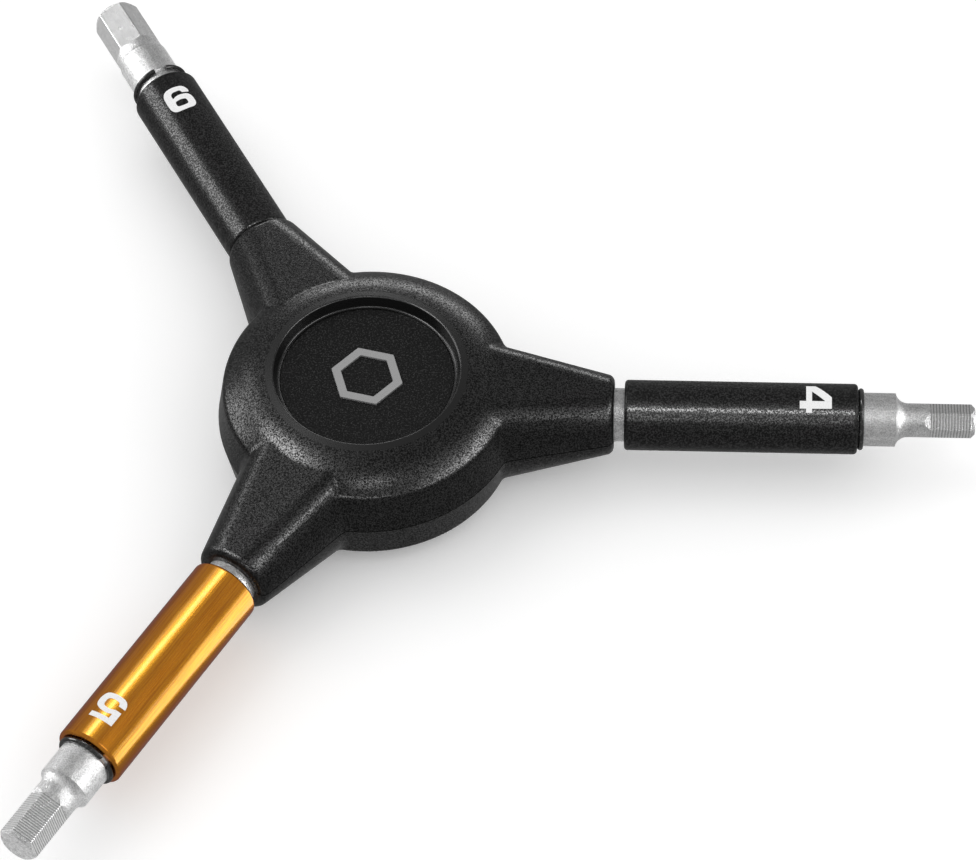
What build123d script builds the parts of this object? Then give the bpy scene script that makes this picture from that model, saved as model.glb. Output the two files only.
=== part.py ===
from build123d import *
from math import cos, radians, sin, sqrt
import os

# Y-shaped hex wrench: a round hub of two moulded shells grips three steel shafts, 120 degrees apart.
# Each shaft ends in a hexagon of its own size and carries a sleeve that spins freely on it.
# Origin: centre of the flat underside of the hub. X runs along the arm with the smallest hexagon.

# Arms, one value per arm
arm_names = ("4mm", "5mm", "6mm")
arm_azimuths = (0, 240, 120)
hex_sizes = (4.0, 5.0, 6.0)
flat_lengths = (6.0, 7.1, 7.7)
runout_lengths = (0.8, 0.6, 0.4)
snap_gap_turns = (-90, 33, 94)
sleeve_is_out = (True, True, False)

# Hub
hub_diameter = 40.8
hub_half_height = 9.0
shoulder_diameter = 38.9
shoulder_drop = 3.2
shoulder_round = 1.4
rim_diameter = 25.0
land_width = 1.0
land_drop = 0.2
dome_rise = 0.55
rim_round = 0.22
recess_depth = 1.75
recess_draft = 0.45
seam_width = 0.16
seam_depth = 0.1

# Bosses that carry the shafts out of the hub
boss_end = 33.1
boss_root = 10.0
boss_end_width = 10.4
boss_side_slope = 0.216
boss_end_height_share = 1.156
boss_root_height_share = 1.345
facet_end_height_share = 0.567
facet_root_height_share = 0.978
ridge_round = 3.4
boss_end_round = 1.1
boss_root_round_share = 0.167

# Shafts
shaft_diameter = 7.2
shaft_root = 8.5
tail_length = 6.3
neck_length = 9.0
shoulder_fillet = 1.7
corner_share = 1.14
tip_chamfer = 0.5
hex_turn = 17
hex_sides = 6
root_flat_width = 5.4
root_flat_length = 6.5
root_chamfer = 0.4
waist_distance = 22.0
waist_length = 3.0
waist_diameter = 5.8

# Snap rings
ring_wire = 0.74
ring_outer_diameter = 8.34
ring_gap = 26
groove_clearance = 0.03

# Sleeves
sleeve_diameter = 9.5
sleeve_length = 31.3
sleeve_float = 1.3
sleeve_round = 0.5
sleeve_bore_chamfer = 0.2

# Cap in the recess
cap_diameter = 23.4
cap_thickness = 1.4
cap_edge_round = 0.12

# Pins that place the two shells
pin_circle_diameter = 27.0
pin_diameter = 3.0
pin_length = 3.0
pin_chamfer = 0.3

# Clearances and the overrun of every cut
seat_clearance = 0.03
running_clearance = 0.08
face_clearance = 0.06
pin_clearance = 0.05
cut_over = 1.0

axis_height = hub_half_height
boss_end_height = boss_end_height_share * hub_half_height
facet_end_height = facet_end_height_share * hub_half_height
boss_root_round = boss_root_round_share * hub_half_height
hub_radius = hub_diameter / 2
shoulder_radius = shoulder_diameter / 2
land_inner = rim_diameter / 2
land_outer = land_inner + land_width
shaft_radius = shaft_diameter / 2
ring_radius = (ring_outer_diameter - ring_wire) / 2
ring_distance = boss_end + sleeve_length + sleeve_float + ring_wire / 2 + 2 * face_clearance
neck_start = ring_distance + tail_length
tip_distance = neck_start + neck_length
arm_step = 360 / len(arm_names)


def on_arm(piece, azimuth):
    """Put a piece that is built along X onto the arm at this azimuth."""
    return Pos(0, 0, axis_height) * Rot(0, 0, azimuth) * piece


def turned(points_face):
    """Turn a half section in the XY plane into a solid round X."""
    return revolve(points_face, axis=Axis.X)


def hub_form():
    """The hub as one round body, domed above and below, with its flat foot underneath."""
    shoulder_height = hub_half_height - shoulder_drop
    land_height = hub_half_height - land_drop
    chord_x = shoulder_radius - land_outer
    chord_z = land_height - shoulder_height
    chord = sqrt(chord_x**2 + chord_z**2)
    rise_x = dome_rise * chord_z / chord
    rise_z = dome_rise * chord_x / chord
    middle = (land_outer + chord_x / 2 + rise_x, land_height - chord_z / 2 + rise_z)
    with BuildSketch(Plane.XZ) as section:
        with BuildLine():
            Line((0, hub_half_height), (land_inner, hub_half_height))
            Line((land_inner, hub_half_height), (land_outer, land_height))
            ThreePointArc((land_outer, land_height), middle, (shoulder_radius, shoulder_height))
            Line((shoulder_radius, shoulder_height), (hub_radius, 0))
            Line((hub_radius, 0), (shoulder_radius, -shoulder_height))
            low_middle = (middle[0], -middle[1])
            ThreePointArc((shoulder_radius, -shoulder_height), low_middle, (land_outer, -land_height))
            Line((land_outer, -land_height), (land_inner, -hub_half_height))
            Line((land_inner, -hub_half_height), (0, -hub_half_height))
            Line((0, -hub_half_height), (0, hub_half_height))
        make_face()
        outer = [v for v in section.vertices() if v.X > (land_outer + shoulder_radius) / 2]
        fillet([v for v in outer if abs(v.Y) > shoulder_height / 2], shoulder_round)
    return Rot(0, 0, arm_step / 2) * revolve(section.sketch, axis=Axis.Z)


def oval(half_height, half_width):
    """An upright oval in two half turns that meet above and below, where the boss is planed."""
    half = EllipticalCenterArc((0, 0), half_height, half_width, arc_size=180)
    return make_face([half, mirror(half, Plane.XZ)])


def boss_form():
    """One boss along X: round at its end, an upright oval at the hub, planed flat above and below."""
    reach = boss_end - boss_root
    end_plane = Plane(origin=(boss_end, 0, 0), x_dir=(0, 0, 1), z_dir=(1, 0, 0))
    root_plane = Plane(origin=(boss_root, 0, 0), x_dir=(0, 0, 1), z_dir=(1, 0, 0))
    root_width = boss_end_width / 2 + boss_side_slope * reach
    root_height = boss_root_height_share * hub_half_height
    with BuildPart() as boss:
        with BuildSketch(root_plane):
            add(oval(root_height, root_width))
        with BuildSketch(end_plane):
            add(oval(boss_end_height / 2, boss_end_width / 2))
        loft(ruled=True)
        root_facet = facet_root_height_share * hub_half_height
        over_facet = (root_facet - facet_end_height) * cut_over / reach
        with BuildSketch(Plane.XZ):
            with BuildLine():
                Polyline(
                    (boss_root - cut_over, root_facet + over_facet),
                    (boss_end + cut_over, facet_end_height - over_facet),
                    (boss_end + cut_over, -facet_end_height + over_facet),
                    (boss_root - cut_over, -root_facet - over_facet),
                    close=True,
                )
            make_face()
        extrude(amount=root_width, both=True, mode=Mode.INTERSECT)
        ridges = [
            e
            for e in boss.edges()
            if e.bounding_box().size.X > reach / 2 and abs(e.center().Z) > facet_end_height
        ]
        fillet(ridges, ridge_round)
        fillet(boss.faces().sort_by(Axis.X)[-1].edges(), boss_end_round)
    return boss.part


def handle_form():
    """Hub and three bosses as one outer form, centred on the plane of the arms."""
    hub = hub_form()
    bosses = [Rot(0, 0, azimuth) * boss_form() for azimuth in arm_azimuths]
    form = hub + bosses
    return fillet(new_edges(hub, *bosses, combined=form), boss_root_round)


def shaft_profile(extra, hex_size=None):
    """Half section of a shaft along X, made larger all round by extra; without a hexagon it stops short."""
    radius = shaft_radius + extra
    waist_radius = waist_diameter / 2 + extra
    waist_from = waist_distance - waist_length / 2 + extra
    waist_to = waist_distance + waist_length / 2 - extra
    waist_step = radius - waist_radius
    start = shaft_root - extra
    points = [
        (start, 0),
        (start, radius - root_chamfer),
        (start + root_chamfer, radius),
        (waist_from - waist_step, radius),
        (waist_from, waist_radius),
        (waist_to, waist_radius),
        (waist_to + waist_step, radius),
    ]
    if hex_size is None:
        end = boss_end + cut_over
        points += [(end, radius), (end, 0), (start, 0)]
        return make_face(Polyline(*points))
    neck_radius = hex_size * corner_share / 2
    step = radius - neck_radius
    span = sqrt(shoulder_fillet**2 - (shoulder_fillet - step) ** 2)
    half_turn = radians(Vector(span, step - shoulder_fillet).get_angle(Vector(0, -shoulder_fillet)) / 2)
    centre = (neck_start, neck_radius + shoulder_fillet)
    middle = (centre[0] - shoulder_fillet * sin(half_turn), centre[1] - shoulder_fillet * cos(half_turn))
    tip_radius = neck_radius - tip_chamfer
    points.append((neck_start - span, radius))
    curve = ThreePointArc(points[-1], middle, (neck_start, neck_radius))
    rest = Polyline(
        (neck_start, neck_radius),
        (tip_distance - tip_chamfer, neck_radius),
        (tip_distance, tip_radius),
        (tip_distance, 0),
        (shaft_root, 0),
    )
    return make_face([Polyline(*points), curve, rest])


def root_flats(piece, extra):
    """Plane the two flats on the inner end of a shaft that stop it from turning in its shells."""
    length = root_flat_length + cut_over
    depth = shaft_diameter
    half_width = root_flat_width / 2 + extra
    block = Box(length, 2 * depth, depth, align=(Align.MAX, Align.CENTER, Align.MIN))
    end = shaft_root + root_flat_length - extra
    upper = Pos(end, 0, half_width) * block
    return piece - upper - mirror(upper, Plane.XY)


def hex_keep(hex_size, flat_length, runout_length):
    """The hexagonal bar that the milled end leaves, flaring where the flats run out."""
    flats_start = tip_distance - flat_length
    depth = (corner_share - 1) * hex_size / 2
    angle = Vector(runout_length, depth).get_angle(Vector(runout_length, 0))
    section_plane = Plane(origin=(flats_start, 0, 0), x_dir=(0, 0, 1), z_dir=(1, 0, 0))
    hexagon = RegularPolygon(hex_size / 2, hex_sides, major_radius=False)
    section = section_plane * Rot(0, 0, 180 / hex_sides - hex_turn) * hexagon
    bar = extrude(section, amount=flat_length + cut_over)
    flare = extrude(section, amount=-2 * runout_length, taper=-angle)
    return bar + flare, flats_start - 2 * runout_length


def hex_shaft(hex_size, flat_length, runout_length):
    """A stepped shaft: seated root, bearing length, snap ring groove, neck and milled hexagon."""
    shaft = root_flats(turned(shaft_profile(0, hex_size)), 0)
    groove = turned(Pos(ring_distance, ring_radius) * Circle(ring_wire / 2 + groove_clearance))
    shaft = shaft - groove
    keep, milled_from = hex_keep(hex_size, flat_length, runout_length)
    blank_length = tip_distance + cut_over - milled_from
    blank_plane = Plane(origin=(milled_from, 0, 0), x_dir=(0, 1, 0), z_dir=(1, 0, 0))
    blank = extrude(blank_plane * Circle(shaft_diameter), amount=blank_length)
    return shaft - (blank - keep)


def shaft_pocket():
    """The room that a shaft takes in the shells, with its seat clearance."""
    return root_flats(turned(shaft_profile(seat_clearance)), seat_clearance)


def snap_ring(gap_turn):
    """An open ring of round wire that snaps into the shaft's groove outside the sleeve."""
    wire = Pos(ring_distance, ring_radius) * Circle(ring_wire / 2)
    ring = revolve(wire, axis=Axis.X, revolution_arc=360 - ring_gap)
    return Rot(gap_turn + ring_gap / 2, 0, 0) * ring


def sleeve_start(is_out):
    """Where a sleeve begins: against its snap ring, or against the boss."""
    if is_out:
        return ring_distance - ring_wire / 2 - face_clearance - sleeve_length
    return boss_end + face_clearance


def spin_sleeve(is_out):
    """A plain tube with rounded rims that turns on the shaft."""
    outer = sleeve_diameter / 2
    bore = shaft_radius + running_clearance
    start = sleeve_start(is_out)
    with BuildSketch() as section:
        with Locations((start + sleeve_length / 2, (outer + bore) / 2)):
            Rectangle(sleeve_length, outer - bore)
        fillet(section.vertices().group_by(Axis.Y)[-1], sleeve_round)
        chamfer(section.vertices().group_by(Axis.Y)[0], sleeve_bore_chamfer)
    return turned(section.sketch)


def recess_cut():
    """The round recess in the top of the hub, with a draughted wall and a rounded foot."""
    top = 2 * hub_half_height
    floor_height = top - recess_depth
    floor_radius = land_inner - recess_draft
    with BuildSketch(Plane.XZ) as section:
        with BuildLine():
            Polyline(
                (0, floor_height),
                (floor_radius, floor_height),
                (land_inner, top),
                (land_inner, top + cut_over),
                (0, top + cut_over),
                close=True,
            )
        make_face()
        fillet(section.vertices().group_by(Axis.Y)[0].sort_by(Axis.X)[-1], rim_round)
    return revolve(section.sketch, axis=Axis.Z)


def cap_pocket_depth():
    """Depth of the cap's seat under the recess floor."""
    return cap_thickness + seat_clearance


def hub_cap():
    """The plain round disc that closes the recess."""
    top = 2 * hub_half_height - recess_depth
    disc = Pos(0, 0, top - cap_thickness) * extrude(Circle(cap_diameter / 2), cap_thickness)
    return fillet(disc.edges().sort_by(Axis.Z)[-1], cap_edge_round)


def pin_places():
    """Centres of the placing pins, midway between the arms."""
    radius = pin_circle_diameter / 2
    angles = [radians(azimuth + arm_step / 2) for azimuth in arm_azimuths]
    return [(radius * cos(angle), radius * sin(angle)) for angle in angles]


def seam_groove():
    """The fine groove that runs round both shells where they meet."""
    end = boss_end - seam_depth
    end_half = boss_end_width / 2 - seam_depth
    root_half = end_half + boss_side_slope * (boss_end - boss_root)
    corners = [(boss_root, root_half), (end, end_half), (end, -end_half), (boss_root, -root_half)]
    wedge = make_face(Polyline(*corners, close=True))
    wedge = fillet(wedge.vertices().sort_by(Axis.X)[-2:], boss_end_round)
    core = Rot(0, 0, arm_step / 2) * Circle(hub_radius - seam_depth)
    core = core + [Rot(0, 0, azimuth) * wedge for azimuth in arm_azimuths]
    roots = [v for v in core.vertices() if Vector(v).length < (hub_radius + boss_end) / 2]
    core = extrude(fillet(roots, boss_root_round + seam_depth), seam_width, both=True)
    reach = 2 * (boss_end + cut_over)
    return Pos(0, 0, axis_height) * (Box(reach, reach, seam_width) - core)


def shells():
    """Upper and lower shell: the outer form, parted at the plane of the arms."""
    form = Pos(0, 0, axis_height) * handle_form() - seam_groove()
    parting = Plane(origin=(0, 0, axis_height))
    upper = form.split(parting, Keep.TOP)
    lower = form.split(parting, Keep.BOTTOM)
    for azimuth in arm_azimuths:
        pocket = on_arm(shaft_pocket(), azimuth)
        upper = upper - pocket
        lower = lower - pocket
    upper = upper - recess_cut()
    upper = fillet(upper.edges().sort_by(Axis.Z)[-1], rim_round)
    cap_floor = 2 * hub_half_height - recess_depth - cap_pocket_depth()
    seat = Pos(0, 0, cap_floor) * extrude(
        Circle(cap_diameter / 2 + seat_clearance), cap_pocket_depth() + seat_clearance
    )
    upper = upper - seat
    pin = extrude(Circle(pin_diameter / 2), -pin_length)
    pin = chamfer(pin.edges().sort_by(Axis.Z)[0], pin_chamfer)
    socket = extrude(Circle(pin_diameter / 2 + pin_clearance), -pin_length - pin_clearance)
    for x, y in pin_places():
        upper = upper + Pos(x, y, axis_height) * pin
        lower = lower - Pos(x, y, axis_height) * socket
    return upper, lower


def write(piece, name):
    """Write one piece under its node's name."""
    export_step(piece, "parts/" + name + ".step")


os.makedirs("parts", exist_ok=True)
upper_shell, lower_shell = shells()
write(upper_shell, "handle_upper_shell")
write(lower_shell, "handle_lower_shell")
write(hub_cap(), "hub_cap")
for name, azimuth, hex_size, flat_length, runout_length, gap_turn, is_out in zip(
    arm_names, arm_azimuths, hex_sizes, flat_lengths, runout_lengths, snap_gap_turns, sleeve_is_out
):
    write(on_arm(hex_shaft(hex_size, flat_length, runout_length), azimuth), "hex_shaft_" + name)
    write(on_arm(snap_ring(gap_turn), azimuth), "snap_ring_" + name)
    write(on_arm(spin_sleeve(is_out), azimuth), "spin_sleeve_" + name)
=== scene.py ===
"""Dresses a three-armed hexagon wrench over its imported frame.

The shells, the cap, the shafts, the snap rings and the spinning sleeves come
from the frame and get their finishes here. The printed sizes on the sleeves
and the raised badge on the cap are made here, with the floor, the lamps and
the camera of a small product set. Lengths are in metres unless a name or a
comment says otherwise, and angles in degrees from +X, the 4 mm arm.
"""

import logging
import math
from collections.abc import Iterable, Mapping
from dataclasses import dataclass
from enum import Enum

import bmesh
import bpy
from mathutils import Matrix, Vector


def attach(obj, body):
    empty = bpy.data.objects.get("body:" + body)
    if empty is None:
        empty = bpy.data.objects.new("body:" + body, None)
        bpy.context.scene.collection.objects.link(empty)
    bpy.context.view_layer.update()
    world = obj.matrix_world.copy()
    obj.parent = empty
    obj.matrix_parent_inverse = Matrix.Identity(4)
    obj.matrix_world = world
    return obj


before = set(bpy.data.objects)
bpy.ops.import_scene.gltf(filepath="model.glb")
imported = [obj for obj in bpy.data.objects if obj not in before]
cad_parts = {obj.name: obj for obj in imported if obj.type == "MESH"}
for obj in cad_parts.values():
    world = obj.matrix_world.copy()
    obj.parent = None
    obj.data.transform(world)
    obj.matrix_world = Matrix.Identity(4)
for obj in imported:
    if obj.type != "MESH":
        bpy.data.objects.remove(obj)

LOG = logging.getLogger("wrench")
MM = 0.001

# The height of the shafts' axes above the floor, and how far off a gleam's lamp hangs.
AXIS_HEIGHT = 9.0 * MM
GLEAM_DISTANCE = 0.50

# The middle of a grain's values, and the refraction of a clear skin.
MEAN = 0.5
SKIN_IOR = 1.5

# A Mix node's sockets for colours, which are known by number alone.
MIX_FACTOR, MIX_FIRST, MIX_SECOND, MIX_RESULT = 0, 6, 7, 2

Colour = tuple[float, float, float, float]
Tint = tuple[float, float, float]
WHITE: Tint = (1.0, 1.0, 1.0)
COOL: Tint = (0.55, 0.76, 1.0)


def grey(level: float) -> Colour:
    """Returns a neutral linear colour of that level."""
    return (level, level, level, 1.0)


class Numeral(Enum):
    """The printed sizes, one to an arm."""

    FOUR = "4"
    FIVE = "5"
    SIX = "6"


class Corner(Enum):
    """How an outline passes through one of its points."""

    SHARP = "VECTOR"
    ROUND = "AUTO"


class Wire:
    """A value that flows through a material, on which Python's operators add Math nodes."""

    def __init__(self, graph: "Graph", socket: bpy.types.NodeSocket) -> None:
        """Keeps the graph and the output socket that gives the value.

        Args:
            graph: The graph that the socket belongs to.
            socket: An output socket.
        """
        self.graph = graph
        self.socket = socket

    def _math(self, operation: str, first: "Value", second: "Value" = 0.0) -> "Wire":
        """Adds one Math node.

        Args:
            operation: The node's operation.
            first: Its first value.
            second: Its second value.

        Returns:
            The node's result.
        """
        return self.graph.node("ShaderNodeMath", {"operation": operation}, {0: first, 1: second})

    def __add__(self, other: "Value") -> "Wire":
        """Returns self + other."""
        return self._math("ADD", self, other)

    def __radd__(self, other: "Value") -> "Wire":
        """Returns other + self."""
        return self._math("ADD", other, self)

    def __sub__(self, other: "Value") -> "Wire":
        """Returns self - other."""
        return self._math("SUBTRACT", self, other)

    def __rsub__(self, other: "Value") -> "Wire":
        """Returns other - self."""
        return self._math("SUBTRACT", other, self)

    def __mul__(self, other: "Value") -> "Wire":
        """Returns self * other."""
        return self._math("MULTIPLY", self, other)

    def __rmul__(self, other: "Value") -> "Wire":
        """Returns other * self."""
        return self._math("MULTIPLY", other, self)

    def __pow__(self, other: "Value") -> "Wire":
        """Returns self ** other."""
        return self._math("POWER", self, other)

    def sine(self) -> "Wire":
        """Returns the sine of self in radians."""
        return self._math("SINE", self)

    def step(self, low: float, high: float) -> "Wire":
        """Rises smoothly from 0 at low to 1 at high.

        Args:
            low: Where it leaves 0.
            high: Where it reaches 1; below low it falls instead.

        Returns:
            The smooth step.
        """
        return self.graph.node(
            "ShaderNodeMapRange",
            {"interpolation_type": "SMOOTHSTEP"},
            {"Value": self, "From Min": low, "From Max": high, "To Min": 0.0, "To Max": 1.0},
        )


Value = Wire | float


class Graph:
    """The node tree of a material or of the surround, filled by calls."""

    def __init__(self, block: bpy.types.Material | bpy.types.World) -> None:
        """Empties the block's node tree.

        Args:
            block: A new material or world.
        """
        self.block = block
        self.block.use_nodes = True
        self.tree = self.block.node_tree
        self.tree.nodes.clear()

    @classmethod
    def material(cls, name: str) -> "Graph":
        """Starts a material of that name."""
        return cls(bpy.data.materials.new(name))

    def node(
        self,
        kind: str,
        settings: Mapping[str, object] | None = None,
        inputs: Mapping[int | str, object] | None = None,
        output: int | str = 0,
    ) -> Wire:
        """Adds one node, with its settings made before its sockets are filled.

        Args:
            kind: The node's type.
            settings: Its properties.
            inputs: Values or wires by socket name or number.
            output: The socket that is returned.

        Returns:
            The chosen output.
        """
        made = self.tree.nodes.new(kind)
        for key, value in (settings or {}).items():
            setattr(made, key, value)
        for key, value in (inputs or {}).items():
            if isinstance(value, Wire):
                self.tree.links.new(value.socket, made.inputs[key])
            else:
                made.inputs[key].default_value = value
        return Wire(self, made.outputs[output])

    def place(self, azimuth: float = 0.0) -> Wire:
        """Gives the point's place, with X turned to an arm.

        Args:
            azimuth: The arm's direction from +X, in degrees.

        Returns:
            The Object coordinates, turned.
        """
        coordinates = self.node("ShaderNodeTexCoord", output="Object")
        if not azimuth:
            return coordinates
        inputs = {"Vector": coordinates, "Rotation": (0.0, 0.0, -math.radians(azimuth))}
        return self.node("ShaderNodeMapping", {"vector_type": "POINT"}, inputs)

    def in_view(self) -> Wire:
        """Tells the rays that show in the picture from those that light the wrench.

        Returns:
            1 for rays of the camera, of reflections and through clear matter, else 0.
        """
        seen = self.node("ShaderNodeLightPath", output="Is Camera Ray")
        for name in ("Is Glossy Ray", "Is Transmission Ray"):
            other = self.node("ShaderNodeLightPath", output=name)
            seen = self.node("ShaderNodeMath", {"operation": "MAXIMUM"}, {0: seen, 1: other})
        return seen

    def part(self, vector: Wire, axis: str) -> Wire:
        """Returns the X, Y or Z of a vector."""
        return self.node("ShaderNodeSeparateXYZ", inputs={0: vector}, output=axis)

    def length(self, first: Value, second: Value) -> Wire:
        """Returns the length of the vector with these two parts."""
        return (first * first + second * second) ** 0.5

    def grain(self, place: Wire, size: float, detail: float = 2.0, rough: float = 0.5) -> Wire:
        """Adds a noise whose bumps are about size wide.

        Args:
            place: The coordinates that it reads.
            size: A bump's width in metres.
            detail: How many finer layers it has.
            rough: How strong the finer layers are.

        Returns:
            Values from 0 to 1.
        """
        sizes = {"Vector": place, "Scale": 1.0 / size, "Detail": detail, "Roughness": rough}
        return self.node("ShaderNodeTexNoise", {"noise_dimensions": "3D"}, sizes)

    def stretched(self, place: Wire, scale: tuple[float, float, float]) -> Wire:
        """Returns the place multiplied by scale."""
        return self.node("ShaderNodeVectorMath", {"operation": "MULTIPLY"}, {0: place, 1: scale})

    def blend(self, factor: Value, first: Colour, second: Colour) -> Wire:
        """Mixes two colours.

        Args:
            factor: 0 gives the first and 1 the second.
            first: The first colour.
            second: The second colour.

        Returns:
            The mixed colour.
        """
        inputs = {MIX_FACTOR: factor, MIX_FIRST: first, MIX_SECOND: second}
        return self.node("ShaderNodeMix", {"data_type": "RGBA"}, inputs, output=MIX_RESULT)

    def bump(self, height: Wire, distance: float, below: Wire | None = None) -> Wire:
        """Turns a height from 0 to 1 into a normal.

        Args:
            height: The height.
            distance: How much a height of 1 is, in metres.
            below: A normal that this one is laid on.

        Returns:
            The normal.
        """
        inputs = {"Height": height, "Distance": distance, "Strength": 1.0}
        if below is not None:
            inputs["Normal"] = below
        return self.node("ShaderNodeBump", inputs=inputs)

    def surface(self, **sockets: object) -> bpy.types.Material:
        """Ends the material with a Principled surface.

        Args:
            sockets: Its sockets' values or wires, spaces written as underscores.

        Returns:
            The finished material.
        """
        named = {key.replace("_", " "): value for key, value in sockets.items()}
        self.close(self.node("ShaderNodeBsdfPrincipled", inputs=named))
        return self.block

    def close(self, shader: Wire, output: str = "ShaderNodeOutputMaterial") -> None:
        """Joins a shader to the tree's output.

        Args:
            shader: The finished shader.
            output: The output node's type.
        """
        end = self.tree.nodes.new(output)
        self.tree.links.new(shader.socket, end.inputs["Surface"])


@dataclass(frozen=True)
class MouldedPlastic:
    """Black nylon with the fine leathery grain of a spark-eroded mould.

    The grain's peaks shine under a clear skin and its valleys hardly do. The
    ring round the cap is polished: it has no grain and an even skin.
    """

    name: str = "moulded_handle"
    colour: Colour = grey(0.003)
    pale: Colour = grey(0.010)
    roughness: float = 0.30
    uneven: float = 0.08
    uneven_size: float = 9.0 * MM
    grain_size: float = 0.20 * MM
    grain_depth: float = 0.045 * MM
    peaks_from: float = 0.36
    peaks_to: float = 0.68
    skin_roughness: float = 0.26
    plain_skin: float = 0.85
    peak_skin: float = 1.20
    valley_drop: float = 0.88
    plain_radius: float = 13.55 * MM
    plain_height: float = 16.0 * MM
    radius_blur: float = 0.1 * MM
    height_blur: float = 0.5 * MM

    def build(self) -> bpy.types.Material:
        """Builds the finish.

        Returns:
            The finish, grained all over but for the ring round the cap.
        """
        graph = Graph.material(self.name)
        place = graph.place()
        radius = graph.length(graph.part(place, "X"), graph.part(place, "Y"))
        blur = self.radius_blur
        outside = radius.step(self.plain_radius - blur, self.plain_radius + blur)
        low = graph.part(place, "Z").step(self.plain_height, self.plain_height - self.height_blur)
        grained = (outside + low).step(0.0, 1.0)
        fine = graph.grain(place, self.grain_size)
        broad = graph.grain(place, self.uneven_size, detail=1.0)
        peaks = fine.step(self.peaks_from, self.peaks_to)
        return graph.surface(
            Base_Color=graph.blend(peaks * grained, self.colour, self.pale),
            Roughness=self.roughness + (broad - MEAN) * self.uneven,
            Normal=graph.bump((fine - MEAN) * grained + MEAN, self.grain_depth),
            Specular_IOR_Level=0.08,
            Coat_Weight=self.plain_skin + grained * (self.peak_skin * peaks - self.valley_drop),
            Coat_Roughness=self.skin_roughness,
            Coat_IOR=SKIN_IOR,
        )


@dataclass(frozen=True)
class CapPlastic:
    """Smooth near-black plastic with a very fine sparkle."""

    name: str = "cap_sparkle"
    colour: Colour = grey(0.003)
    pale: Colour = grey(0.022)
    fleck_size: float = 0.22 * MM
    fleck_depth: float = 0.020 * MM
    flecks_from: float = 0.50
    flecks_to: float = 0.68
    skin: float = 0.05
    fleck_skin: float = 0.75

    def build(self) -> bpy.types.Material:
        """Builds the finish.

        Returns:
            The finish, with scattered flecks that are paler and shine.
        """
        graph = Graph.material(self.name)
        fleck = graph.grain(graph.place(), self.fleck_size, rough=0.6)
        shining = fleck.step(self.flecks_from, self.flecks_to)
        return graph.surface(
            Base_Color=graph.blend(shining, self.colour, self.pale),
            Roughness=0.42,
            Normal=graph.bump(fleck, self.fleck_depth),
            Specular_IOR_Level=0.20,
            Coat_Weight=self.skin + self.fleck_skin * shining,
            Coat_Roughness=0.26,
            Coat_IOR=SKIN_IOR,
        )


@dataclass(frozen=True)
class PowderCoat:
    """Black powder coat, coarse enough to break a highlight into specks."""

    name: str = "powder_coat"
    colour: Colour = grey(0.004)
    pale: Colour = grey(0.018)
    roughness: float = 0.34
    uneven: float = 0.10
    uneven_size: float = 5.0 * MM
    grain_size: float = 0.21 * MM
    grain_depth: float = 0.05 * MM
    peaks_from: float = 0.42
    peaks_to: float = 0.66
    skin: float = 0.07
    peak_skin: float = 0.90

    def build(self) -> bpy.types.Material:
        """Builds the finish.

        Returns:
            The finish, whose grain shines on its peaks alone.
        """
        graph = Graph.material(self.name)
        place = graph.place()
        fine = graph.grain(place, self.grain_size)
        broad = graph.grain(place, self.uneven_size, detail=1.0)
        peaks = fine.step(self.peaks_from, self.peaks_to)
        return graph.surface(
            Base_Color=graph.blend(peaks, self.colour, self.pale),
            Roughness=self.roughness + (broad - MEAN) * self.uneven,
            Normal=graph.bump(fine, self.grain_depth),
            Specular_IOR_Level=0.12,
            Coat_Weight=self.skin + self.peak_skin * peaks,
            Coat_Roughness=0.22,
            Coat_IOR=SKIN_IOR,
        )


@dataclass(frozen=True)
class Anodised:
    """Orange anodised aluminium tube with faint drawing lines along it."""

    name: str
    azimuth: float
    colour: Colour = (0.98, 0.37, 0.012, 1.0)
    deep: Colour = (0.72, 0.22, 0.003, 1.0)
    edge: Colour = (0.62, 0.22, 0.02, 1.0)
    roughness: float = 0.24
    uneven: float = 0.08
    line_size: float = 0.16 * MM
    line_squeeze: float = 0.03
    lines_from: float = 0.28
    lines_to: float = 0.66
    fine_size: float = 0.22 * MM
    cloud_size: float = 6.0 * MM
    line_share: float = 0.6
    rest_share: float = 0.4
    depth: float = 0.004 * MM
    skin: float = 0.8
    skin_change: float = 0.5

    def build(self) -> bpy.types.Material:
        """Builds the finish.

        Returns:
            Dyed metal under a clear sealed skin.
        """
        graph = Graph.material(self.name)
        place = graph.place(self.azimuth)
        along = graph.stretched(place, (self.line_squeeze, 1.0, 1.0))
        drawn = graph.grain(along, self.line_size).step(self.lines_from, self.lines_to)
        fine = graph.grain(place, self.fine_size, detail=1.0)
        cloud = graph.grain(place, self.cloud_size)
        height = drawn * self.line_share + fine * self.rest_share
        depth_of_dye = drawn * self.line_share + cloud * self.rest_share
        return graph.surface(
            Base_Color=graph.blend(depth_of_dye, self.deep, self.colour),
            Metallic=1.0,
            Roughness=self.roughness + (fine - MEAN) * self.uneven,
            Normal=graph.bump(height, self.depth),
            Specular_Tint=self.edge,
            Coat_Weight=self.skin + self.skin_change * (fine - MEAN),
            Coat_Roughness=0.14,
            Coat_IOR=SKIN_IOR,
        )


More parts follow.
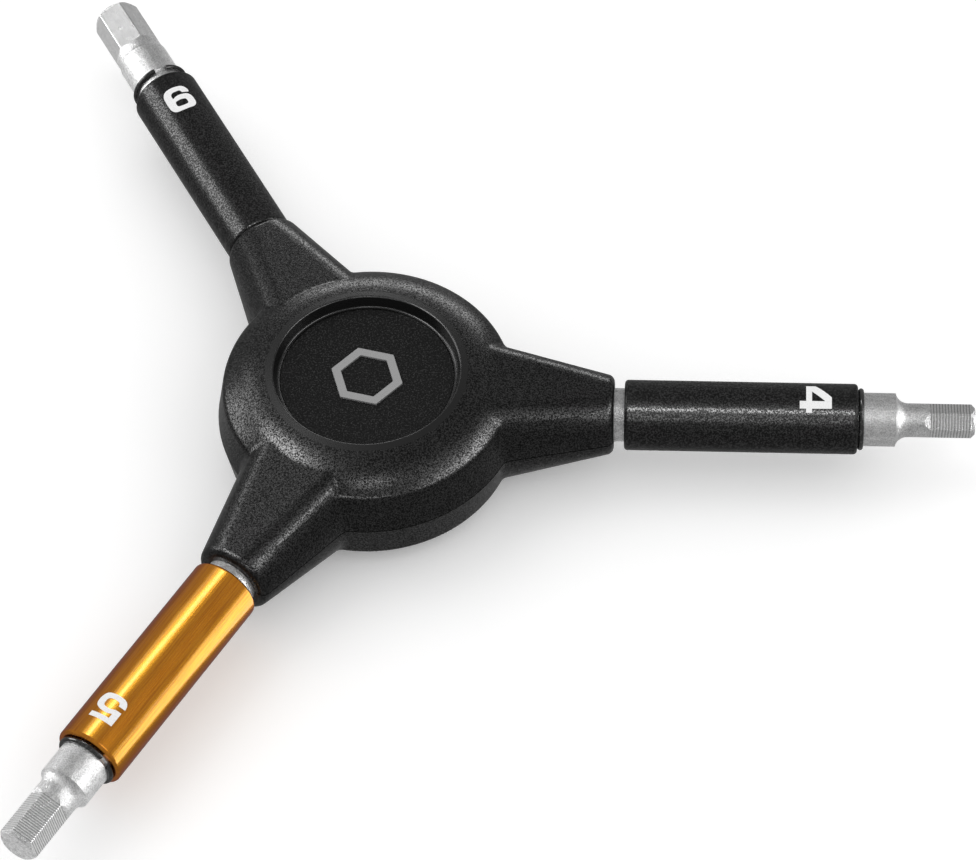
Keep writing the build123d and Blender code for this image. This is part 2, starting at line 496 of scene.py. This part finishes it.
@dataclass(frozen=True)
class BlastedSteel:
    """Bead-blasted steel shaft with milled flats at its hexagon end."""

    name: str
    azimuth: float
    flats_from: float
    flats_to: float
    mill_pitch: float
    mill_depth: float
    colour: Colour = grey(0.24)
    pale: Colour = grey(1.0)
    flats_blur: float = 0.03 * MM
    blast_size: float = 0.20 * MM
    blast_depth: float = 0.030 * MM
    blast_from: float = 0.30
    blast_to: float = 0.70
    smudge_size: float = 0.8 * MM
    smudge_squeeze: float = 0.6
    smudges_from: float = 0.26
    smudges_to: float = 0.74
    line_waver: float = 0.25
    line_power: float = 0.6
    round_shade: float = 0.26
    blast_shade: float = 0.46
    smudge_shade: float = 0.28
    # How strongly the milled lines paint shade into the grooves and sheen onto the ridges, and how
    # much the lined flats are painted darker.
    painted_groove_contrast: float = 0.66
    painted_groove_offset: float = 0.16
    flats_fade: float = 0.55
    flats_calm: float = 0.6
    roughness: float = 0.35
    flats_polish: float = 0.02
    smudge_polish: float = 0.14

    def build(self) -> bpy.types.Material:
        """Builds the finish.

        Returns:
            The finish, blasted on the round and lined across on the flats, with painted shade in
            the milled grooves and painted sheen on the ridges between them.
        """
        graph = Graph.material(self.name)
        place = graph.place(self.azimuth)
        along = graph.part(place, "X")
        blur = self.flats_blur
        flats = along.step(self.flats_from - blur, self.flats_from + blur) * along.step(
            self.flats_to + blur, self.flats_to - blur
        )
        blast = graph.grain(place, self.blast_size, detail=3.0, rough=0.6)
        fine = blast.step(self.blast_from, self.blast_to)
        drawn_out = graph.stretched(place, (self.smudge_squeeze, 1.0, 1.0))
        patch = graph.grain(drawn_out, self.smudge_size, detail=3.0, rough=0.65)
        smudge = patch.step(self.smudges_from, self.smudges_to)
        waver = graph.grain(place, self.smudge_size, detail=1.0) - MEAN
        wavy = along + waver * (self.line_waver * self.mill_pitch)
        turns = wavy * (2.0 * math.pi / self.mill_pitch)
        lines = (turns.sine() * 0.5 + 0.5) ** self.line_power
        blasted = graph.bump(fine * (1.0 - flats * self.flats_calm), self.blast_depth)
        milled = graph.bump(lines * flats, self.mill_depth, below=blasted)
        mottle = self.round_shade + fine * self.blast_shade + smudge * self.smudge_shade
        # The milled lines go into the colour too: painted shade in the grooves and painted sheen on
        # the ridges, on the flats alone.
        groove_shade_and_sheen = self.painted_groove_contrast * lines - self.painted_groove_offset
        tone_and_groove_shade = mottle * (1.0 - flats * self.flats_fade) + groove_shade_and_sheen * flats
        smooth = self.roughness - self.flats_polish * flats
        return graph.surface(
            Base_Color=graph.blend(tone_and_groove_shade, self.colour, self.pale),
            Metallic=1.0,
            Roughness=smooth + (MEAN - smudge) * self.smudge_polish,
            Normal=milled,
        )


@dataclass(frozen=True)
class BlackenedWire:
    """Glossy black oxide on spring wire."""

    name: str = "blackened_wire"
    colour: Colour = grey(0.010)
    worn: Colour = grey(0.12)
    rub_size: float = 0.5 * MM
    rubs_from: float = 0.52
    rubs_to: float = 0.75
    rub_metal: float = 0.6
    roughness: float = 0.16
    rub_roughness: float = 0.10
    fine_size: float = 0.12 * MM
    fine_depth: float = 0.002 * MM

    def build(self) -> bpy.types.Material:
        """Builds the finish.

        Returns:
            The finish, with a little rubbed metal.
        """
        graph = Graph.material(self.name)
        place = graph.place()
        rubs = graph.grain(place, self.rub_size, detail=3.0, rough=0.6)
        rubbed = rubs.step(self.rubs_from, self.rubs_to)
        fine = graph.grain(place, self.fine_size, detail=1.0)
        return graph.surface(
            Base_Color=graph.blend(rubbed, self.colour, self.worn),
            Metallic=rubbed * self.rub_metal,
            Roughness=self.roughness + self.rub_roughness * rubbed,
            Normal=graph.bump(fine, self.fine_depth),
            Specular_IOR_Level=0.8,
        )


@dataclass(frozen=True)
class PrintedInk:
    """Matt white pad-printing ink."""

    name: str = "white_ink"
    colour: Colour = grey(0.92)
    thin: Colour = grey(0.82)
    fine_size: float = 0.20 * MM
    fine_depth: float = 0.008 * MM
    thin_from: float = 0.55
    thin_to: float = 0.30

    def build(self) -> bpy.types.Material:
        """Builds the finish.

        Returns:
            The finish, a little uneven as thin ink is.
        """
        graph = Graph.material(self.name)
        fine = graph.grain(graph.place(), self.fine_size)
        thinning = fine.step(self.thin_from, self.thin_to)
        return graph.surface(
            Base_Color=graph.blend(thinning, self.colour, self.thin),
            Roughness=0.55,
            Normal=graph.bump(fine, self.fine_depth),
            Specular_IOR_Level=0.4,
        )


@dataclass(frozen=True)
class BadgeMetal:
    """Satin silver of the raised badge."""

    name: str = "badge_silver"
    colour: Colour = grey(0.70)
    dull: Colour = grey(0.56)
    roughness: float = 0.34
    uneven: float = 0.08
    pebble_size: float = 0.18 * MM
    pebble_depth: float = 0.012 * MM

    def build(self) -> bpy.types.Material:
        """Builds the finish.

        Returns:
            The finish, finely pebbled.
        """
        graph = Graph.material(self.name)
        fine = graph.grain(graph.place(), self.pebble_size)
        return graph.surface(
            Base_Color=graph.blend(fine, self.dull, self.colour),
            Metallic=0.75,
            Roughness=self.roughness + self.uneven * fine,
            Normal=graph.bump(fine, self.pebble_depth),
        )


@dataclass(frozen=True)
class FloorPaint:
    """Flat white paint of the floor, lifted to paper white where the picture shows it."""

    name: str = "floor_paint"
    colour: Colour = grey(0.97)
    lift: Colour = grey(0.17)

    def build(self) -> bpy.types.Material:
        """Builds the paint.

        Returns:
            The paint, whose lift shows in the picture and in reflections and lights nothing.
        """
        graph = Graph.material(self.name)
        graph.block.cycles.emission_sampling = "NONE"
        return graph.surface(
            Base_Color=self.colour,
            Roughness=1.0,
            Specular_IOR_Level=0.0,
            Emission_Color=graph.blend(graph.in_view(), grey(0.0), self.lift),
            Emission_Strength=1.0,
        )


@dataclass(frozen=True)
class LitCard:
    """An evenly glowing cloth or card."""

    name: str
    level: float

    def build(self) -> bpy.types.Material:
        """Builds the glow.

        Returns:
            The glow, which lights nothing by itself.
        """
        graph = Graph.material(self.name)
        graph.block.cycles.emission_sampling = "NONE"
        return graph.surface(
            Base_Color=grey(0.0),
            Specular_IOR_Level=0.0,
            Emission_Color=grey(1.0),
            Emission_Strength=self.level,
        )


def dress(node: str, material: bpy.types.Material) -> None:
    """Gives a node of the frame its finish.

    Args:
        node: The node's name.
        material: The finish.
    """
    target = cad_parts[node]
    if not target.material_slots:
        target.data.materials.append(material)
    for place in target.material_slots:
        place.material = material
    LOG.info("dressed %s with %s", node, material.name)


def to_object(mesh: bmesh.types.BMesh, name: str, material: bpy.types.Material) -> bpy.types.Object:
    """Turns a finished bmesh into an object at the origin.

    Args:
        mesh: The shape, in metres, in its place.
        name: The object's name.
        material: Its finish.

    Returns:
        The object, linked to the scene.
    """
    bmesh.ops.recalc_face_normals(mesh, faces=mesh.faces[:])
    data = bpy.data.meshes.new(name)
    mesh.to_mesh(data)
    mesh.free()
    data.materials.append(material)
    made = bpy.data.objects.new(name, data)
    bpy.context.scene.collection.objects.link(made)
    LOG.info("made %s with %d faces", name, len(data.polygons))
    return made


def thicken(shape: bmesh.types.BMesh, height: float) -> None:
    """Gives a flat shape a thickness, upward.

    Args:
        shape: The shape, lying flat.
        height: How thick it gets.
    """
    lifted = bmesh.ops.extrude_face_region(shape, geom=shape.faces[:])
    top = [piece for piece in lifted["geom"] if isinstance(piece, bmesh.types.BMVert)]
    bmesh.ops.translate(shape, vec=(0.0, 0.0, height), verts=top)


def is_wall(face: bmesh.types.BMFace) -> bool:
    """Tells whether a face stands up rather than lies flat."""
    return abs(face.normal.z) < 0.5


# The numerals' outlines in millimetres: across, up from the foot, and the kind of corner.
S, R = Corner.SHARP, Corner.ROUND
OUTLINES: dict[Numeral, tuple[tuple[tuple[float, float, Corner], ...], ...]] = {
    Numeral.FOUR: (
        (
            (0.69, 0.0, S), (1.80, 0.0, S), (1.80, 0.86, S), (2.37, 0.86, S), (2.37, 1.64, S),
            (1.80, 1.64, S), (1.76, 4.28, S), (0.06, 4.28, S), (-2.22, 2.14, S), (-2.22, 0.86, S),
            (0.69, 0.86, S),
        ),
        ((-0.96, 1.64, S), (0.69, 1.64, S), (0.69, 3.42, S)),
    ),
    Numeral.FIVE: (
        (
            (-1.80, 4.21, S), (1.81, 4.21, S), (1.80, 3.46, S), (-0.87, 3.45, S),
            (-0.87, 2.70, S), (-0.30, 2.92, R), (0.40, 2.93, R), (1.30, 2.66, R), (1.88, 2.15, R),
            (2.03, 1.50, R), (1.90, 0.75, R), (1.50, 0.20, R), (0.80, 0.01, R), (-0.60, 0.0, R),
            (-1.30, 0.15, R), (-1.75, 0.60, R), (-1.93, 1.31, S), (-0.94, 1.31, S),
            (-0.80, 0.92, R), (-0.40, 0.76, R), (0.35, 0.75, R), (0.84, 0.96, R), (0.97, 1.48, R),
            (0.84, 2.00, R), (0.35, 2.21, R), (-0.35, 2.20, R), (-0.90, 1.98, S),
            (-1.80, 1.95, S),
        ),
    ),
    Numeral.SIX: (
        (
            (1.93, 3.31, R), (1.80, 3.80, R), (1.40, 4.25, R), (0.60, 4.41, R), (-0.60, 4.41, R),
            (-1.38, 4.20, R), (-1.83, 3.60, R), (-1.96, 2.60, R), (-1.96, 1.60, R),
            (-1.83, 0.75, R), (-1.38, 0.18, R), (-0.60, 0.0, R), (0.60, 0.0, R), (1.45, 0.15, R),
            (1.90, 0.65, R), (2.00, 1.40, R), (1.90, 2.20, R), (1.50, 2.66, R), (0.80, 2.79, R),
            (-0.20, 2.75, R), (-0.83, 2.50, S), (-0.80, 3.20, R), (-0.50, 3.52, R),
            (0.10, 3.58, R), (0.68, 3.54, R), (0.86, 3.12, S), (1.82, 3.02, S),
        ),
        (
            (-0.83, 1.35, R), (-0.72, 0.92, R), (-0.30, 0.79, R), (0.40, 0.79, R),
            (0.80, 0.92, R), (0.90, 1.35, R), (0.80, 1.78, R), (0.40, 1.91, R), (-0.30, 1.91, R),
            (-0.72, 1.78, R),
        ),
    ),
}


@dataclass
class PrintedSize:
    """One numeral printed round the top of a sleeve, read from the hub."""

    numeral: Numeral
    azimuth: float
    foot_distance: float
    sleeve_radius: float = 4.75 * MM
    ink_thickness: float = 0.02 * MM
    strip_width: float = 0.25 * MM
    strips_span: float = 6.0 * MM

    def outline(self) -> bpy.types.Curve:
        """Draws the numeral flat, in millimetres.

        Returns:
            A filled curve whose outlines are closed.
        """
        curve = bpy.data.curves.new(f"outline_{self.numeral.value}", "CURVE")
        curve.dimensions, curve.fill_mode, curve.resolution_u = "2D", "BOTH", 6
        for points in OUTLINES[self.numeral]:
            spline = curve.splines.new("BEZIER")
            spline.bezier_points.add(len(points) - 1)
            spline.use_cyclic_u = True
            for point, (across, up, corner) in zip(spline.bezier_points, points):
                point.co = (across, up, 0.0)
                point.handle_left_type = point.handle_right_type = corner.value
        return curve

    def flat(self) -> bmesh.types.BMesh:
        """Fills the outline and cuts it into strips that can be rolled.

        Returns:
            The flat numeral, in metres.
        """
        drawn = bpy.data.objects.new("drawn", self.outline())
        bpy.context.scene.collection.objects.link(drawn)
        bpy.context.view_layer.update()
        filled = bpy.data.meshes.new_from_object(drawn)
        shape = bmesh.new()
        shape.from_mesh(filled)
        bpy.data.objects.remove(drawn)
        bpy.data.meshes.remove(filled)
        bmesh.ops.remove_doubles(shape, verts=shape.verts[:], dist=0.001)
        bmesh.ops.scale(shape, vec=(MM, MM, MM), verts=shape.verts[:])
        cuts = math.ceil(self.strips_span / self.strip_width)
        for index in range(-cuts // 2, cuts // 2 + 1):
            bmesh.ops.bisect_plane(
                shape,
                geom=shape.verts[:] + shape.edges[:] + shape.faces[:],
                dist=1e-7,
                plane_co=(index * self.strip_width, 0.0, 0.0),
                plane_no=(1.0, 0.0, 0.0),
            )
        return shape

    def build(self, ink: bpy.types.Material) -> bpy.types.Object:
        """Makes the numeral a thin skin of ink on the sleeve.

        Args:
            ink: The ink's finish.

        Returns:
            The printed numeral.
        """
        shape = self.flat()
        thicken(shape, self.ink_thickness)
        turn = Matrix.Rotation(math.radians(self.azimuth), 3, "Z")
        axis = Vector((0.0, 0.0, AXIS_HEIGHT))
        for vertex in shape.verts:
            across, up, height = vertex.co
            radius, angle = self.sleeve_radius + height, across / self.sleeve_radius
            sideways, upward = -radius * math.sin(angle), radius * math.cos(angle)
            vertex.co = turn @ Vector((self.foot_distance + up, sideways, upward)) + axis
        return to_object(shape, f"printed_size_{self.numeral.value}mm", ink)


@dataclass
class Arm:
    """One shaft with its snap ring, its spinning sleeve and the sleeve's printed size.

    Distances run from the hub's centre along the arm.
    """

    numeral: Numeral
    azimuth: float
    flats_from: float
    mill_pitch: float
    mill_depth: float
    sleeve_end: float
    print_inset: float
    orange: bool = False
    flats_to: float = 80.96 * MM

    @property
    def size(self) -> str:
        """The arm's size as the nodes name it."""
        return f"{self.numeral.value}mm"

    def dress(self, ring: bpy.types.Material, coat: bpy.types.Material) -> None:
        """Gives the arm's nodes their finishes.

        Args:
            ring: The snap rings' finish.
            coat: The finish of the black sleeves.
        """
        steel = BlastedSteel(
            name=f"blasted_steel_{self.size}",
            azimuth=self.azimuth,
            flats_from=self.flats_from,
            flats_to=self.flats_to,
            mill_pitch=self.mill_pitch,
            mill_depth=self.mill_depth,
        )
        dress(f"hex_shaft_{self.size}", steel.build())
        dress(f"snap_ring_{self.size}", ring)
        finish = Anodised("orange_anodised", self.azimuth).build() if self.orange else coat
        dress(f"spin_sleeve_{self.size}", finish)

    def print_size(self, ink: bpy.types.Material) -> None:
        """Prints the size on the sleeve, so that it spins with it.

        Args:
            ink: The ink's finish.
        """
        foot = self.sleeve_end - self.print_inset
        mark = PrintedSize(self.numeral, self.azimuth, foot).build(ink)
        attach(mark, f"sleeve_{self.size}")


@dataclass
class Handle:
    """The two moulded shells, the cap in their recess and the badge on the cap."""

    badge_across: float = 8.6 * MM
    badge_band: float = 1.15 * MM
    badge_height: float = 0.35 * MM
    badge_round: float = 0.09 * MM
    badge_turn: float = 17.0
    cap_top: float = 16.25 * MM

    def dress(self) -> None:
        """Gives the shells and the cap their finishes."""
        plastic = MouldedPlastic().build()
        dress("handle_upper_shell", plastic)
        dress("handle_lower_shell", plastic)
        dress("hub_cap", CapPlastic().build())

    def ring(self) -> bmesh.types.BMesh:
        """Makes a plain hexagon ring with rounded edges.

        Returns:
            The ring, lying at the origin.
        """
        shape = bmesh.new()
        corner = self.badge_across / math.sqrt(3.0)
        bmesh.ops.create_circle(shape, cap_ends=True, segments=6, radius=corner)
        inset = bmesh.ops.inset_region(
            shape,
            faces=shape.faces[:],
            thickness=self.badge_band,
            use_even_offset=True,
            use_boundary=True,
        )
        middle = [face for face in shape.faces if face not in inset["faces"]]
        bmesh.ops.delete(shape, geom=middle, context="FACES_ONLY")
        thicken(shape, self.badge_height)
        half = 0.5 * self.badge_height
        rims, corners = [], []
        for edge in shape.edges:
            first, second = (vertex.co.z for vertex in edge.verts)
            if abs(first - second) > half:
                corners.append(edge)
            elif min(first, second) > half and any(is_wall(face) for face in edge.link_faces):
                rims.append(edge)
        bmesh.ops.bevel(
            shape,
            geom=rims + corners,
            offset=self.badge_round,
            offset_type="OFFSET",
            affect="EDGES",
            segments=3,
            profile=0.5,
            material=-1,
        )
        return shape

    def badge(self, metal: bpy.types.Material) -> None:
        """Stands the hexagon ring on the cap.

        Args:
            metal: The badge's finish.
        """
        shape = self.ring()
        turn = Matrix.Rotation(math.radians(self.badge_turn), 3, "Z")
        bmesh.ops.rotate(shape, verts=shape.verts[:], matrix=turn)
        bmesh.ops.translate(shape, vec=(0.0, 0.0, self.cap_top), verts=shape.verts[:])
        made = to_object(shape, "cap_badge", metal)
        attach(made, "handle")


@dataclass(frozen=True)
class Softbox:
    """A rectangular lamp that faces a point from a direction, or lies flat and faces up."""

    name: str
    azimuth: float
    elevation: float
    distance: float
    width: float
    height: float
    radiance: float
    gleam_only: bool = False
    matt_only: bool = False
    gleams_on: tuple[str, ...] = ()
    lies_flat: bool = False
    colour: Tint = WHITE
    target: tuple[float, float, float] = (0.0, 0.0, AXIS_HEIGHT)

    def build(self) -> None:
        """Hangs the lamp, hidden from the camera and from what it isn't meant to light."""
        lamp = bpy.data.lights.new(self.name, "AREA")
        lamp.shape, lamp.size, lamp.size_y = "RECTANGLE", self.width, self.height
        lamp.color = self.colour
        lamp.energy = self.radiance * math.pi * self.width * self.height
        hung = bpy.data.objects.new(self.name, lamp)
        hung.visible_camera = False
        hung.visible_diffuse = not self.gleam_only
        hung.visible_glossy = not self.matt_only
        if self.gleams_on:
            lit = bpy.data.collections.new(f"lit_by_{self.name}")
            for node in self.gleams_on:
                lit.objects.link(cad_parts[node])
            hung.light_linking.receiver_collection = lit
        bpy.context.scene.collection.objects.link(hung)
        around, up = math.radians(self.azimuth), math.radians(self.elevation)
        flat = math.cos(up)
        away = Vector((math.cos(around) * flat, math.sin(around) * flat, math.sin(up)))
        hung.location = Vector(self.target) + away * self.distance
        hung.rotation_mode = "QUATERNION"
        back = Vector((0.0, 0.0, -1.0)) if self.lies_flat else away
        hung.rotation_quaternion = back.to_track_quat("Z", "Y")
        LOG.info("hung %s", self.name)


def gleam(
    name: str,
    azimuth: float,
    elevation: float,
    width: float,
    height: float,
    radiance: float,
    nodes: tuple[str, ...],
    colour: Tint = WHITE,
) -> Softbox:
    """Describes a lamp that only gives a gleam to some of the frame's parts.

    Args:
        name: The lamp's name.
        azimuth: Its direction from +X, in degrees.
        elevation: Its height above the horizon, in degrees.
        width: Its width in metres.
        height: Its height in metres.
        radiance: How bright it is.
        nodes: The nodes that it lights.
        colour: Its colour.

    Returns:
        The lamp, not hung yet.
    """
    return Softbox(
        name,
        azimuth,
        elevation,
        GLEAM_DISTANCE,
        width,
        height,
        radiance,
        gleam_only=True,
        gleams_on=nodes,
        colour=colour,
    )


def floor_glow(
    name: str,
    way: tuple[float, float, float],
    width: float,
    height: float,
    radiance: float,
    nodes: tuple[str, ...],
    colour: Tint = WHITE,
) -> Softbox:
    """Describes a lamp that lies near the floor and gives a gleam from below.

    Args:
        name: The lamp's name.
        way: Its azimuth and elevation in degrees and its distance in metres.
        width: Its width in metres.
        height: Its height in metres.
        radiance: How bright it is.
        nodes: The nodes that it lights.
        colour: Its colour.

    Returns:
        The lamp, not hung yet.
    """
    return Softbox(
        name,
        *way,
        width,
        height,
        radiance,
        gleam_only=True,
        gleams_on=nodes,
        lies_flat=True,
        colour=colour,
    )


SHELLS = ("handle_upper_shell", "handle_lower_shell")
SLEEVES = ("hub_cap", "spin_sleeve_4mm", "spin_sleeve_6mm")
STEEL = ("hex_shaft_4mm", "hex_shaft_5mm", "hex_shaft_6mm")
RINGS = ("snap_ring_4mm", "snap_ring_5mm", "snap_ring_6mm")
ORANGE = ("spin_sleeve_5mm",)

# The way straight down from the hub's middle to just above the floor.
UNDER_HUB = (0.0, -89.0, 0.0085)

# A soft lamp has azimuth, elevation, distance, width, height and radiance. A gleam has the
# same but for the distance, and a glow has its way in brackets. Both end with their nodes.
LAMPS = (
    Softbox("key_softbox", 140.0, 58.0, 0.60, 0.34, 0.34, 1.1, matt_only=True),
    Softbox("fill_softbox", -30.0, 50.0, 0.60, 0.30, 0.30, 0.9),
    gleam("left_gleam", 165.0, 22.0, 0.26, 0.26, 6.0, SLEEVES + STEEL + RINGS),
    gleam("flat_gleam", 142.0, 45.0, 0.16, 0.16, 2.2, STEEL[2:]),
    gleam("ring_glint", 101.0, 57.0, 0.20, 0.05, 16.0, RINGS),
    gleam("left_shell_gleam", 164.0, 20.0, 0.22, 0.22, 5.0, SHELLS),
    gleam("half_left_gleam", 147.0, 38.0, 0.16, 0.16, 3.2, SHELLS),
    gleam("high_left_gleam", 180.0, 57.0, 0.21, 0.17, 15.0, SHELLS),
    gleam("ring_gleam", 111.0, 57.0, 0.06, 0.05, 16.0, SHELLS),
    gleam("edge_gleam", -22.0, 35.0, 0.46, 0.10, 9.0, SHELLS),
    gleam("back_gleam", 86.0, 14.0, 0.40, 0.14, 4.0, SHELLS),
    gleam("right_shell_gleam", 0.0, 27.0, 0.26, 0.14, 5.0, SHELLS),
    gleam("front_top_gleam", -88.0, 72.0, 0.27, 0.07, 26.0, SLEEVES),
    gleam("front_gleam", -86.0, 46.0, 0.20, 0.18, 3.2, SLEEVES[1:2]),
    gleam("front_top_glow", -84.0, 66.0, 0.22, 0.06, 5.0, STEEL),
    gleam("right_gleam", 0.0, 27.0, 0.26, 0.14, 5.0, SLEEVES + STEEL + RINGS),
    gleam("low_right_gleam", -3.0, 5.0, 0.18, 0.14, 9.0, STEEL),
    gleam("strip_gleam", 101.0, 62.0, 0.30, 0.07, 5.5, ORANGE, COOL),
    gleam("broad_gleam", 101.0, 55.0, 0.30, 0.20, 1.1, ORANGE, COOL),
    gleam("low_orange_gleam", -4.0, 4.0, 0.16, 0.10, 2.0, ORANGE, COOL),
    gleam("front_rim_gleam", -97.0, 29.0, 0.40, 0.06, 7.0, SHELLS),
    gleam("ridge_gleam", -86.0, 60.0, 0.14, 0.10, 7.0, SHELLS),
    floor_glow("floor_gleam", (-4.0, -2.4, 0.195), 0.40, 0.14, 2.7, ORANGE, COOL),
    floor_glow("floor_glow", UNDER_HUB, 0.50, 0.50, 0.18, STEEL[:1]),
    floor_glow("bright_floor_glow", UNDER_HUB, 0.50, 0.50, 0.44, STEEL[1:]),
)


def disc(radius: float, sides: int, height: float) -> bmesh.types.BMesh:
    """Makes a flat round sheet.

    Args:
        radius: Its radius.
        sides: How many straight sides its rim has.
        height: Its height above the floor.

    Returns:
        The sheet, centred over the hub.
    """
    shape = bmesh.new()
    bmesh.ops.create_circle(shape, cap_ends=True, segments=sides, radius=radius)
    bmesh.ops.translate(shape, vec=(0.0, 0.0, height), verts=shape.verts[:])
    return shape


def reflected_only(card: bpy.types.Object) -> None:
    """Shows a card of the set to reflections alone.

    Args:
        card: The card.
    """
    card.visible_camera = card.visible_diffuse = card.visible_shadow = False
    card.visible_transmission = card.visible_volume_scatter = False


@dataclass
class Tent:
    """A grey tent over the set that only reflections show, so that metal reads as metal."""

    radius: float = 0.9
    sides: int = 48
    rows: int = 24
    foot: float = 0.04 * MM
    level: float = 0.34
    floor_level: float = 0.24

    def build(self) -> None:
        """Raises the tent and lays its floor."""
        shape = bmesh.new()
        bmesh.ops.create_uvsphere(
            shape, u_segments=self.sides, v_segments=self.rows, radius=self.radius
        )
        bmesh.ops.bisect_plane(
            shape,
            geom=shape.verts[:] + shape.edges[:] + shape.faces[:],
            dist=1e-6,
            plane_co=(0.0, 0.0, self.foot),
            plane_no=(0.0, 0.0, 1.0),
            clear_inner=True,
        )
        cloth = LitCard("tent_cloth", self.level).build()
        reflected_only(to_object(shape, "tent", cloth))
        floor_cloth = LitCard("tent_floor_cloth", self.floor_level).build()
        base = disc(self.radius, self.sides, self.foot)
        reflected_only(to_object(base, "tent_floor", floor_cloth))


@dataclass
class Viewpoint:
    """The camera, at the place and angle that the wrench was photographed from.

    The place is in millimetres. Right, down and forward are the picture's
    axes, and the focal length is counted in the picture's pixels.
    """

    place: tuple[float, float, float] = (42.582, -384.123, 510.134)
    right: tuple[float, float, float] = (0.99894107, 0.04048291, -0.02186042)
    down: tuple[float, float, float] = (0.01897324, -0.79533946, -0.60586728)
    forward: tuple[float, float, float] = (-0.04191373, 0.60481094, -0.79526534)
    focal_pixels: float = 4683.66
    frame_pixels: float = 976.0
    sensor_width: float = 36.0
    nearest: float = 0.01
    farthest: float = 100.0

    def build(self) -> None:
        """Sets the scene's camera."""
        data = bpy.data.cameras.new("camera")
        data.sensor_fit, data.sensor_width = "HORIZONTAL", self.sensor_width
        data.lens = self.focal_pixels * self.sensor_width / self.frame_pixels
        data.clip_start, data.clip_end = self.nearest, self.farthest
        camera = bpy.data.objects.new("camera", data)
        bpy.context.scene.collection.objects.link(camera)
        axes = Matrix((self.right, -Vector(self.down), -Vector(self.forward))).transposed()
        camera.matrix_world = Matrix.Translation(Vector(self.place) * MM) @ axes.to_4x4()
        bpy.context.scene.camera = camera
        LOG.info("set the camera with a %.1f mm lens", data.lens)


@dataclass
class Studio:
    """A white floor and surround, soft lamps, and a grey tent with gleams for reflections."""

    floor_radius: float = 3.0
    floor_sides: int = 96
    floor_drop: float = 0.02 * MM
    ambient: float = 0.83
    lamps: tuple[Softbox, ...] = LAMPS

    def surround(self) -> None:
        """Surrounds the set with white that lights it evenly."""
        world = bpy.data.worlds.new("surround")
        bpy.context.scene.world = world
        graph = Graph(world)
        lighting, shown = (
            graph.node("ShaderNodeBackground", inputs={"Color": grey(1.0), "Strength": strength})
            for strength in (self.ambient, 1.0)
        )
        inputs = {0: graph.in_view(), 1: lighting, 2: shown}
        graph.close(graph.node("ShaderNodeMixShader", inputs=inputs), "ShaderNodeOutputWorld")

    def build(self) -> None:
        """Sets up the floor, the surround, the lamps, the tent and the camera."""
        sheet = disc(self.floor_radius, self.floor_sides, -self.floor_drop)
        floor = to_object(sheet, "floor", FloorPaint().build())
        self.surround()
        for lamp in self.lamps:
            lamp.build()
        Tent().build()
        Viewpoint().build()
        bpy.context.scene.view_settings.view_transform = "Standard"


ARMS = (
    Arm(
        Numeral.FOUR,
        azimuth=0.0,
        flats_from=75.49 * MM,
        mill_pitch=0.40 * MM,
        mill_depth=0.045 * MM,
        sleeve_end=65.77 * MM,
        print_inset=7.87 * MM,
    ),
    Arm(
        Numeral.FIVE,
        azimuth=240.0,
        flats_from=74.39 * MM,
        mill_pitch=0.35 * MM,
        mill_depth=0.032 * MM,
        sleeve_end=65.77 * MM,
        print_inset=7.51 * MM,
        orange=True,
    ),
    Arm(
        Numeral.SIX,
        azimuth=120.0,
        flats_from=73.79 * MM,
        mill_pitch=0.23 * MM,
        mill_depth=0.012 * MM,
        sleeve_end=64.46 * MM,
        print_inset=7.59 * MM,
    ),
)


def main() -> None:
    """Dresses the wrench piece by piece and stages it."""
    logging.basicConfig(level=logging.INFO, format="%(name)s: %(message)s")
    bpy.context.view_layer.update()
    handle = Handle()
    handle.dress()
    handle.badge(BadgeMetal().build())
    ring, coat, ink = BlackenedWire().build(), PowderCoat().build(), PrintedInk().build()
    for arm in ARMS:
        arm.dress(ring, coat)
        arm.print_size(ink)
    Studio().build()


if __name__ == "__main__":
    main()
